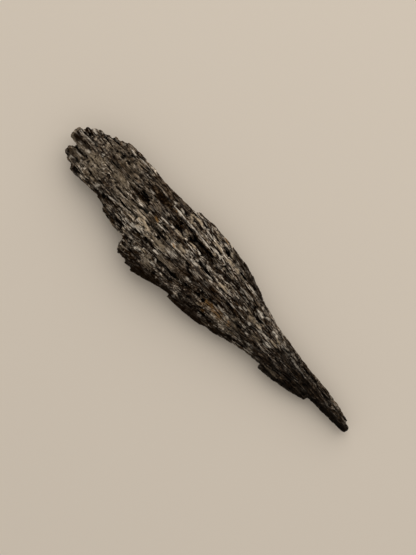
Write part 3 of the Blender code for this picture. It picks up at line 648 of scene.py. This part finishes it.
def lay_splinters(surface, settings):
    """Lays copies of one splinter on the fan, along the blades, all round it."""
    model = model_splinter()
    chance = random.Random(SPLINTER_SEED)
    laid = []
    while len(laid) < settings.splinters:
        x = chance.uniform(*SPLINTER_FIELD)
        turn = chance.uniform(*(UPPER_TURNS if chance.random() < UPPER_SHARE else LOWER_TURNS))
        size = SHORTEST + (1 - SHORTEST) * chance.random() ** LENGTH_SKEW
        length = settings.splinter_length / MM * size * chance.uniform(*LENGTH_RANGE)
        width = settings.splinter_width / MM * (SHORTEST + (1 - SHORTEST) * chance.random() ** WIDTH_SKEW)
        stand = chance.uniform(*STAND_RANGE) * STAND_OUT * width * THICKNESS
        roll = chance.gauss(0, ROLL)
        sideways = chance.uniform(-1, 1)
        ends = [cast_at(surface, x + run * length, turn, sideways) for run in (0.0, REACH)]
        if None in ends:
            continue
        (start, _), (end, outward) = ends
        run = end - start
        if abs(run.x) < LEAST_RUN * length or run.yz.length > STEEPEST * length + STEP_ROOM:
            continue
        along = run.normalized()
        out = (outward - outward.project(along)).normalized()
        across = out.cross(along)
        turned = Matrix.Rotation(roll, 3, along)
        basis = Matrix((along * run.length, turned @ across * width, turned @ out * width * THICKNESS))
        middle = (start + end) / 2 + out * (stand - width * THICKNESS / 2)
        corners = [(middle + along * run.length * reach + across * width * side) * MM
                   for reach in CORNERS_ALONG for side in CORNERS_ACROSS]
        if not all(is_over(surface, corner) and surface.find_nearest(corner)[3] / MM < OVERHANG
                   for corner in corners):
            continue
        copy = model.copy()
        copy.data = model.data.copy()
        copy.data.transform(Matrix.Translation(middle * MM) @ (basis.transposed().to_4x4() * MM_SCALE))
        bpy.context.scene.collection.objects.link(copy)
        laid.append(copy)
    bpy.data.objects.remove(model)
    return laid


# ---- the skin

FACET_SQUEEZE = 0.4  # a facet's width, as a share of its length along the blades
PROUD = 0.6  # the most that the skin stands out of the fan's own surface
PROUD_OF_OUTLINE = 0.12  # and out of its outline, seen from above


def fuse(body, splinters, settings):
    """Fuses the body and its splinters into one even skin, with facets longer along the blades."""
    pick(body, *splinters)
    bpy.ops.object.join()
    squeeze = Matrix.Scale(FACET_SQUEEZE, 4, Vector((1, 0, 0)))
    body.data.transform(squeeze)
    skin = body.modifiers.new("skin", "REMESH")
    skin.mode = "VOXEL"
    skin.voxel_size = settings.detail
    skin.adaptivity = 0.0
    pick(body)
    bpy.ops.object.modifier_apply(modifier=skin.name)
    body.data.transform(squeeze.inverted())
    keep_one_skin(body)


def keep_one_skin(body):
    """Deletes the sealed bubbles and loose grains that fusing leaves beside the one skin."""
    root = min(vertex.co.x for vertex in body.data.vertices)
    take_vertices(body.data, lambda co: co.x == root)
    bpy.ops.mesh.select_linked()
    bpy.ops.mesh.select_all(action="INVERT")
    bpy.ops.mesh.delete(type="VERT")
    bpy.ops.object.mode_set(mode="OBJECT")


def press_back(body, surface):
    """Presses what stands out of the fan too far back against it."""
    for vertex in body.data.vertices:
        place, facing, _, far = surface.find_nearest(vertex.co)
        out = vertex.co - place
        most = (PROUD if is_over(surface, vertex.co) else PROUD_OF_OUTLINE) * MM
        if far > most and out.dot(facing) > 0:
            vertex.co = place + out * (most / far)


# ---- weathering

# The blades that the surface is split into: their length, width and thickness at the head, how far they
# stand apart and lean, and the share of them that leans to the left.
BLADE_SIZE = (4.5, 0.7, 0.84)
BLADE_STEP, BLADE_LEAN = 0.55, 1.1
LEFT_SHARE = 0.35

# Noise along the blades: how long and how wide its features are, a number that sets each noise apart,
# and its octaves.
GROOVES = (5.0, 0.42, 11.0, 2)
PITS = (4.5, 1.3, 31.0, 2)
LINES = (3.6, 0.85, 51.0, 3)
DASHES = (1.5, 0.36, 61.0, 2)
CLUSTERS = (4.2, 1.3, 71.0, 2)
LINE_BREAKS = (1.1, 0.5, 81.0, 1)

# The level of LINES that lines and gaps follow, and how far from it, or at what value of its own noise,
# each feature starts and is full.
LINE_LEVEL, LINE_EDGES = 0.07, (0.07, 0.015)
GAP_LEVEL, GAP_EDGES = -0.1, (0.085, 0.02)
DASH_EDGES = (0.06, 0.34)
CLUSTER_EDGES = (-0.3, 0.32)
BREAK_EDGES = (-0.2, 0.15)
LONE_LINE = 0.35  # how light a line is away from a cluster
GAP_FADE = 0.5  # and how much of a gap is lost in one

# The same noise all ways: the size of its features, and a number that sets it apart. Then its depth.
LUMPS, LUMP_DEPTH = (1.5, 3.0), 0.22
BREAKS, BREAK_DEPTH = (0.7, 8.0), 0.18
NICKS, NICK_DEPTH = (0.75, 13.0), 0.1
LUMPY = (24.0, 32.0)  # where along the fan its lumps start, and are full
END_FACING = (0.55, 0.85)  # how much a broken end's faces point along the fan
PITTED = (0.28, 0.6)
GAP_DEPTH = 1.4  # how deep a gap is, as a share of a groove
GROOVE_DROP = 0.2  # how far the surface sinks as a whole, as a share of a groove
CRUST_HEIGHT = 0.07

# Edges as the material reads them: how many rounds of neighbours each point is set against, and how far
# it has to stand out of them.
EDGES = {"fine_edge": (3, 0.1), "wide_edge": (14, 0.3)}


def mesh_arrays(mesh):
    """A mesh's points in millimetres, and their normals."""
    points = np.empty(len(mesh.vertices) * 3)
    mesh.vertices.foreach_get("co", points)
    normals = np.empty(len(mesh.vertices) * 3)
    mesh.vertex_normals.foreach_get("vector", normals)
    return points.reshape(-1, 3) / MM, normals.reshape(-1, 3)


def store(mesh, name, values):
    attribute = mesh.attributes.new(name, "FLOAT", "POINT")
    attribute.data.foreach_set("value", values.astype(np.float32))


def neighbour_mean(mesh, values, rounds):
    """The mean of a value over each point's neighbours, repeated to reach further."""
    edges = np.empty(len(mesh.edges) * 2, dtype=np.int64)
    mesh.edges.foreach_get("vertices", edges)
    first, second = edges.reshape(-1, 2).T
    count = np.bincount(edges, minlength=len(mesh.vertices))[:, None]
    for _ in range(rounds):
        total = np.zeros_like(values)
        np.add.at(total, first, values[second])
        np.add.at(total, second, values[first])
        values = total / count
    return values


def blade_pattern(grain, normals):
    """Splits the surface into long blades: each point's tone, and how far it stands out."""
    cell = grain / BLADE_SIZE
    near = np.array([noise.voronoi(Vector(p))[1][0] for p in cell])
    off = cell - near
    level = scatter(near, 1.0) * 2 - 1
    lean = np.sign(scatter(near, 2.0) - LEFT_SHARE)
    slope = off[:, 1] * np.abs(normals[:, 2]) + off[:, 2] * np.abs(normals[:, 1])
    return scatter(near, 3.0), BLADE_STEP * level + BLADE_LEAN * lean * slope


def streak_pattern(grain):
    """Light streaks of worn blades and the dark gaps by them, each from 0 to 1."""
    outline = grained_noise(grain, *LINES)
    lines = smooth_step(np.abs(outline - LINE_LEVEL), *LINE_EDGES)
    gaps = smooth_step(np.abs(outline - GAP_LEVEL), *GAP_EDGES)
    dashes = smooth_step(grained_noise(grain, *DASHES), *DASH_EDGES)
    cluster = smooth_step(grained_noise(grain, *CLUSTERS), *CLUSTER_EDGES)
    broken = smooth_step(grained_noise(grain, *LINE_BREAKS), *BREAK_EDGES)
    lines = lines * broken * (LONE_LINE + (1 - LONE_LINE) * cluster)
    return np.maximum(lines, dashes * cluster), gaps * (1 - GAP_FADE * cluster)


def weather(body, settings):
    """Cuts ledges, grooves, pits and broken ends into the skin, and stores what the material reads."""
    mesh = body.data
    points, normals = mesh_arrays(mesh)
    grain = grain_of(points)
    tone, ledges = blade_pattern(grain, normals)
    streak, gap = streak_pattern(grain)
    grooves = grained_noise(grain, *GROOVES)
    pits = smooth_step(grained_noise(grain, *PITS), *PITTED)
    masks, sunk = mark_masks(points, normals, grain)
    ends = smooth_step(np.abs(normals[:, 0]), *END_FACING)
    lumps = LUMP_DEPTH * plain_noise(points, *LUMPS) * smooth_step(points[:, 0], *LUMPY)
    breaks = BREAK_DEPTH * plain_noise(points, *BREAKS) * ends

    height = settings.ledge / MM * ledges * (1 - ends)
    height += settings.groove / MM * (grooves + streak - GAP_DEPTH * gap - GROOVE_DROP) * (1 - ends)
    height -= settings.pit / MM * pits * (1 - ends)
    height += lumps + breaks
    height += NICK_DEPTH * plain_noise(points, *NICKS)
    height += CRUST_HEIGHT * np.maximum(masks["pale_and_glint"], masks["cream"]) - sunk
    moved = points + normals * height[:, None]
    moved[:, 2] = np.maximum(moved[:, 2], 0.0)
    mesh.vertices.foreach_set("co", (moved * MM).ravel())
    mesh.update()

    points, normals = mesh_arrays(mesh)
    for name, (rounds, full) in EDGES.items():
        proud = ((points - neighbour_mean(mesh, points, rounds)) * normals).sum(axis=1)
        store(mesh, name, np.clip(proud / full, -1, 1))
    narrow = smooth_step(spread(points[:, 0]), *NARROW)
    for name, values in {"tone": tone, "streak": streak, "gap": gap, "narrow": narrow, **masks}.items():
        store(mesh, name, values)
    attribute = mesh.attributes.new("grain", "FLOAT_VECTOR", "POINT")
    attribute.data.foreach_set("vector", grain.ravel())


# ---- material helpers

class Value:
    """A socket of a node tree, on which arithmetic adds the nodes that do it."""

    def __init__(self, tree, socket):
        self.tree = tree
        self.socket = socket

    def math(self, operation, *others):
        return add_node(self.tree, "ShaderNodeMath", {"operation": operation},
                        dict(enumerate((self, *others))))

    def __add__(self, other):
        return self.math("ADD", other)

    def __sub__(self, other):
        return self.math("SUBTRACT", other)

    def __rsub__(self, other):
        return add_node(self.tree, "ShaderNodeMath", {"operation": "SUBTRACT"}, {0: other, 1: self})

    def __mul__(self, other):
        return self.math("MULTIPLY", other)

    __radd__ = __add__
    __rmul__ = __mul__

    def clamped(self, low=0.0, high=1.0):
        return self.math("MAXIMUM", low).math("MINIMUM", high)

    def ramp(self, low, high):
        """0 at low, 1 at high and smooth between them. high may be the lower one."""
        return add_node(self.tree, "ShaderNodeMapRange", {"interpolation_type": "SMOOTHSTEP"},
                        {"Value": self, "From Min": low, "From Max": high})


def add_node(tree, kind, settings=None, inputs=None, output=0):
    """Adds a node, sets it up, fills or links its inputs, and returns one of its outputs."""
    node = tree.nodes.new(kind)
    for name, value in (settings or {}).items():
        setattr(node, name, value)
    for key, value in (inputs or {}).items():
        if isinstance(value, Value):
            tree.links.new(value.socket, node.inputs[key])
        else:
            node.inputs[key].default_value = value
    return Value(tree, node.outputs[output])


STREAK_COARSENING = 2.0  # how much coarser streaks are across narrow blades
STREAK_FLATNESS = 0.4  # a streak's width, as a share of how deep it reaches through the fan


def streaks(tree, grain, narrow, along, across, shift, detail):
    """Noise drawn out along the blades, and coarser where they are narrow. Sizes are in millimetres."""
    found = []
    for factor in (1.0, STREAK_COARSENING):
        size = (1 / along, 1 / across / factor, STREAK_FLATNESS / across / factor)
        scaled = add_node(tree, "ShaderNodeVectorMath", {"operation": "MULTIPLY"}, {0: grain, 1: size})
        moved = add_node(tree, "ShaderNodeVectorMath", {"operation": "ADD"}, {0: scaled, 1: (shift,) * 3})
        found.append(add_node(tree, "ShaderNodeTexNoise", None,
                              {"Vector": moved, "Scale": 1.0, "Detail": detail, "Roughness": 0.5}))
    return found[0] + (found[1] - found[0]) * narrow


# ---- the fan's material

# Noise along the blades: how long and how wide its streaks are, what sets it apart, and its detail. Then
# noise that is the same all ways: the size of its grains, its detail and its roughness.
STREAKS = {
    "broad": (9.0, 1.6, 3.1, 2.0),
    "medium": (2.6, 0.45, 17.3, 3.0),
    "fine": (1.6, 0.3, 40.7, 2.0),
    "flakes": (2.0, 0.5, 27.9, 3.0),
    "clusters": (6.0, 1.8, 63.1, 2.0),
    "dashes": (2.4, 0.34, 83.1, 1.0),
    "nicks": (2.0, 0.4, 91.7, 1.0),
    "threads": (7.0, 1.2, 101.3, 2.0),
    "thread breaks": (2.6, 0.5, 111.9, 2.0),
    "cracks": (4.5, 1.2, 121.1, 2.0),
    "filaments": (1.5, 0.21, 131.3, 1.0),
}
GRAINS = {
    "specks": (0.65, 2.0, 0.5),
    "grit": (0.45, 1.0, 0.5),
    "patches": (2.4, 2.0, 0.5),
    "crumbs": (0.9, 4.0, 0.6),
    "grains": (0.22, 1.0, 0.5),
}
LINE_HALF_WIDTH = (0.04, 0.02)  # how far from its middle value a noise's line starts, and is full
GRAIN_LIMITS = (0.2, 2.2)  # the least and the most that the finest grain leaves of a colour
MARK_BREAKS = {"clay": 0.45, "ochre": 0.6, "cream": 0.45, "pale_and_glint": 0.2}  # how much of each is broken up


def kyanite_material(colours):
    """Black and brown blades with worn grey streaks, clay in places, and stains placed one by one."""
    material = bpy.data.materials.new("black kyanite")
    material.use_nodes = True
    tree = material.node_tree
    tree.nodes.clear()

    def stored(name, output="Fac"):
        return add_node(tree, "ShaderNodeAttribute", {"attribute_name": name}, None, output)

    def mixed(share, first, second, blend="MIX"):
        first, second = (end if isinstance(end, Value) else (*end, 1.0) for end in (first, second))
        return add_node(tree, "ShaderNodeMix", {"data_type": "RGBA", "blend_type": blend},
                        {0: share, 6: first, 7: second}, 2)  # the sockets that hold colours

    place = add_node(tree, "ShaderNodeTexCoord", None, None, "Object")
    grain, narrow = stored("grain", "Vector"), stored("narrow")
    line = {name: streaks(tree, grain, narrow, *sizes) for name, sizes in STREAKS.items()}
    spot = {name: add_node(tree, "ShaderNodeTexNoise", None, {"Vector": place, "Scale": 1 / (size * MM),
                                                             "Detail": detail, "Roughness": roughness})
            for name, (size, detail, roughness) in GRAINS.items()}
    broad, medium, fine = line["broad"], line["medium"], line["fine"]
    specks, grit, patches = spot["specks"], spot["grit"], spot["patches"]
    tone, streak, gap, fine_edge, wide_edge, busy, calm, crumbly, dusty = map(
        stored, ("tone", "streak", "gap", "fine_edge", "wide_edge", "worn", "calm", "crumbly", "dusty"))

    # the blades themselves: clean and black, weathered and brown, or dusty
    weathered = broad * 0.8 + tone * 0.5 + specks * 0.9 + grit * 0.9 + patches * 0.6 - 1.85
    weathered = weathered + dusty * 0.35 - calm * 0.15 + (patches - 0.5) * crumbly * 1.4
    black = mixed(narrow * 0.85, colours.black, colours.soot)
    colour = mixed(weathered.ramp(-0.45, 0.2), black, colours.brown)
    colour = mixed(weathered.ramp(-0.1, 0.45), colour, colours.dust)

    # what is worn light: streaks along the blades, mottling where they crumble, and grain on both
    flakes = line["flakes"].ramp(0.53, 0.58)
    clusters = line["clusters"].ramp(0.4, 0.6)
    crumbs = spot["crumbs"].ramp(0.52, 0.62)
    streaky = streak * (1 - narrow * 0.6) * 0.32 + (medium - 0.5) * 0.9 + (fine - 0.5) * 2.1
    streaky = (streaky + flakes * (clusters * 0.25 + 0.1)) * (narrow * 0.4 + 1)
    mottled = (specks - 0.5) * 1.4 + (patches - 0.5) * 2.4 + crumbs * 0.3 + 0.04
    grainy = ((specks - 0.5) * 1.3 + (grit - 0.5) * 1.6) * (1 - calm * 0.5) * (1 - narrow * 0.5)
    grainy = grainy * (1 - crumbly * 0.4)
    light = streaky * (1 - calm * 0.5) + (mottled - streaky) * crumbly * 0.85 + grainy
    # gap makes the gaps between blades darker here: painted shade
    light = light + fine_edge * 0.15 + (tone - 0.5) * 0.2 + (broad - 0.5) * 0.4 - gap * 0.5
    light = light + busy * 0.2 - calm * 0.3 - narrow * 0.09 - 0.025
    colour = mixed(light.ramp(0.23, 0.74), colour, colours.grey)
    # the brightest streaks turn pale: painted glints
    colour = mixed(light.ramp(0.7, 1.2), colour, colours.pale_and_glint)

    # fine marks on the blades: light dashes, dark nicks and cracks, and long light threads
    wear = (clusters * 0.4 + busy * 0.3 + 0.3 - calm * 0.5).clamped()
    bright = mixed(busy * 0.4 + 0.4, colours.grey, colours.pale_and_glint)
    dashes = line["dashes"].ramp(0.55, 0.6)
    dashes = dashes + (specks.ramp(0.55, 0.62) - dashes) * crumbly * 0.7
    nicks = line["nicks"].ramp(0.45, 0.4)
    nicks = nicks + (grit.ramp(0.45, 0.38) - nicks) * crumbly * 0.7
    cracks = (line["cracks"] - 0.5).math("ABSOLUTE").ramp(*LINE_HALF_WIDTH)
    threads = (line["threads"] - 0.5).math("ABSOLUTE").ramp(*LINE_HALF_WIDTH)
    threads = threads * line["thread breaks"].ramp(0.42, 0.5) * (1 - crumbly * 0.7)
    colour = mixed(dashes * wear * 0.7, colour, bright)
    colour = mixed(nicks.math("MAXIMUM", cracks) * 0.8, colour, black)
    colour = mixed(threads * wear, colour, bright)

    # the finest grain, drawn out along the blades where they are whole
    filaments = (line["filaments"] - 0.5) * 10.0
    grains = (spot["grains"] - 0.5) * 9.0
    grains = filaments + (grains - filaments) * (crumbly * 0.35 + narrow * 0.2 + 0.25)
    grains = grains * (1 - calm * 0.3) * (1 - crumbly * 0.15) + 1.0
    colour = mixed(1.0, colour, grains.clamped(*GRAIN_LIMITS), "MULTIPLY")

    # the marks, a little broken up, and the shade in gaps and hollows
    broken = ((specks - 0.5) * 1.6 + (fine - 0.5) * 1.6 + (medium - 0.5)).ramp(0.2, -0.5)
    for kind, share in MARK_BREAKS.items():
        colour = mixed(stored(kind) * (1 - broken * share), colour, getattr(colours, kind))
    # black where blades are clean, and painted shade: on dark marks turned from the light, in hollows and
    # in the gaps between blades
    clean_and_shade = (stored("dark_and_shade") * 0.95 + stored("hollow") * 0.9 + gap * 0.6).clamped()
    colour = mixed(clean_and_shade, colour, black)
    shade = wide_edge.ramp(-0.75, 0.05) * 0.85 + 0.15
    shade = shade * (fine_edge.ramp(-0.8, 0.1) * 0.6 + 0.4)
    grey_shade = add_node(tree, "ShaderNodeCombineColor", None, {0: shade, 1: shade, 2: shade})
    colour = mixed(1.0, colour, grey_shade, "MULTIPLY")

    # the finish: rough, with a faint lustre on clean and worn faces
    roughness = 0.6 - light.ramp(0.2, 0.9) * 0.12 - tone * 0.08 + (1 - shade) * 0.25
    lustre = (tone.ramp(0.35, 0.8) * 0.16 + light.ramp(0.2, 0.8) * 0.12) * shade * (1 - clean_and_shade * 0.7)
    relief = fine * 0.4 + medium * 0.3 + specks + grit * 1.2
    bump = add_node(tree, "ShaderNodeBump", None,
                    {"Strength": 1.0, "Distance": 0.2 * MM, "Height": relief}, "Normal")
    shader = add_node(tree, "ShaderNodeBsdfPrincipled", None,
                      {"Base Color": colour, "Roughness": roughness, "Normal": bump, "IOR": 1.5,
                       "Specular IOR Level": 0.02, "Coat Weight": lustre, "Coat Roughness": 0.3})
    output = tree.nodes.new("ShaderNodeOutputMaterial")
    tree.links.new(shader.socket, output.inputs["Surface"])
    return material


# ---- operators

class KYANITE_OT_surface(bpy.types.Operator):
    """Grows the fan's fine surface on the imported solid"""
    bl_idname = "kyanite.surface"
    bl_label = "Fan surface"

    def execute(self, context):
        settings = context.scene.kyanite_form
        body = bpy.data.objects.new(PIECE, frame["nodes"][NODE].data.copy())
        context.scene.collection.objects.link(body)
        body.data.materials.clear()
        pick(body)
        bpy.ops.object.mode_set(mode="EDIT")
        bpy.ops.mesh.select_all(action="SELECT")
        bpy.ops.mesh.remove_doubles(threshold=0.001 * MM)
        bpy.ops.object.mode_set(mode="OBJECT")
        surface = BVHTree.FromObject(body, context.evaluated_depsgraph_get())
        fuse(body, lay_splinters(surface, settings), settings)
        weather(body, settings)
        press_back(body, surface)
        body.data.materials.append(kyanite_material(context.scene.kyanite_colour))
        pick(body)
        bpy.ops.object.shade_smooth_by_angle(angle=math.radians(38))
        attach(body, "root")
        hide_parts(NODE)
        return {"FINISHED"}


# The camera's up and right, across the table: it sees the fan's head up on the left.
UP_IN_VIEW = Vector((0.7408, -0.6717, 0.0))
RIGHT_IN_VIEW = Vector((-0.6717, -0.7408, 0.0))
VIEW_CENTRE = Vector((1.1, -1.5, 4.0)) * MM
WINDOW_SIDE = UP_IN_VIEW * 0.85 + RIGHT_IN_VIEW * 0.4  # the side that the window's light comes from
WINDOW_DISTANCE, WINDOW_HEIGHT = 0.38, 0.42  # in metres


class KYANITE_OT_stage(bpy.types.Operator):
    """Lays the table, and sets the light and the camera"""
    bl_idname = "kyanite.stage"
    bl_label = "Table, light and camera"

    def execute(self, context):
        settings = context.scene.kyanite_stage
        bpy.ops.object.select_all(action="DESELECT")
        bpy.ops.mesh.primitive_plane_add(size=6.0, location=(0, 0, 0))
        table = context.object
        table.name = "table"
        finish = bpy.data.materials.new("table")
        finish.use_nodes = True
        shader = finish.node_tree.nodes["Principled BSDF"]
        shader.inputs["Base Color"].default_value = (*settings.floor, 1.0)
        shader.inputs["Roughness"].default_value = 0.75
        table.data.materials.append(finish)

        bpy.ops.object.light_add(type="AREA", location=VIEW_CENTRE + WINDOW_SIDE * WINDOW_DISTANCE
                                 + Vector((0, 0, WINDOW_HEIGHT)))
        window = context.object
        window.name = "window"
        window.data.shape = "DISK"
        window.data.size = 0.8
        window.data.energy = 1.95
        window.data.color = (1.0, 0.955, 0.9)
        window.rotation_euler = (VIEW_CENTRE - window.location).to_track_quat("-Z", "Y").to_euler()
        window.visible_camera = False
        world = bpy.data.worlds.new("room")
        world.use_nodes = True
        room = world.node_tree.nodes["Background"]
        room.inputs["Color"].default_value = (0.95, 0.91, 0.86, 1.0)
        room.inputs["Strength"].default_value = 0.55
        context.scene.world = world

        camera_data = bpy.data.cameras.new("camera")
        camera = bpy.data.objects.new("camera", camera_data)
        context.scene.collection.objects.link(camera)
        camera.location = VIEW_CENTRE + Vector((0, 0, settings.eye_height))
        looking_down = Matrix((RIGHT_IN_VIEW, UP_IN_VIEW, Vector((0, 0, 1)))).transposed()
        camera.rotation_euler = looking_down.to_euler()
        camera_data.sensor_fit = "VERTICAL"
        camera_data.angle = 2 * math.atan(settings.view_height / 2 / settings.eye_height)
        camera_data.clip_start = 0.01
        context.scene.camera = camera
        context.scene.view_settings.view_transform = "Standard"
        return {"FINISHED"}


class KYANITE_PT_panel(bpy.types.Panel):
    """The steps of dressing the fan, in order"""
    bl_label = "Black kyanite fan"
    bl_idname = "KYANITE_PT_panel"
    bl_space_type = "VIEW_3D"
    bl_region_type = "UI"
    bl_category = "Kyanite"

    def draw(self, context):
        layout = self.layout
        for pointer in GROUPS:
            group = getattr(context.scene, pointer)
            box = layout.box()
            for name in group.bl_rna.properties.keys():
                if name not in ("rna_type", "name"):
                    box.prop(group, name)
        layout.operator(KYANITE_OT_stage.bl_idname)
        layout.operator(KYANITE_OT_surface.bl_idname)


GROUPS = {
    "kyanite_form": KyaniteFormSettings,
    "kyanite_colour": KyaniteColourSettings,
    "kyanite_stage": KyaniteStageSettings,
}
CLASSES = (*GROUPS.values(), KYANITE_OT_stage, KYANITE_OT_surface, KYANITE_PT_panel)


def register():
    for cls in CLASSES:
        bpy.utils.register_class(cls)
    for name, group in GROUPS.items():
        setattr(bpy.types.Scene, name, PointerProperty(type=group))


def unregister():
    for name in GROUPS:
        delattr(bpy.types.Scene, name)
    for cls in reversed(CLASSES):
        bpy.utils.unregister_class(cls)


def main():
    register()
    bpy.ops.kyanite.stage()
    bpy.ops.kyanite.surface()


if __name__ == "__main__":
    main()
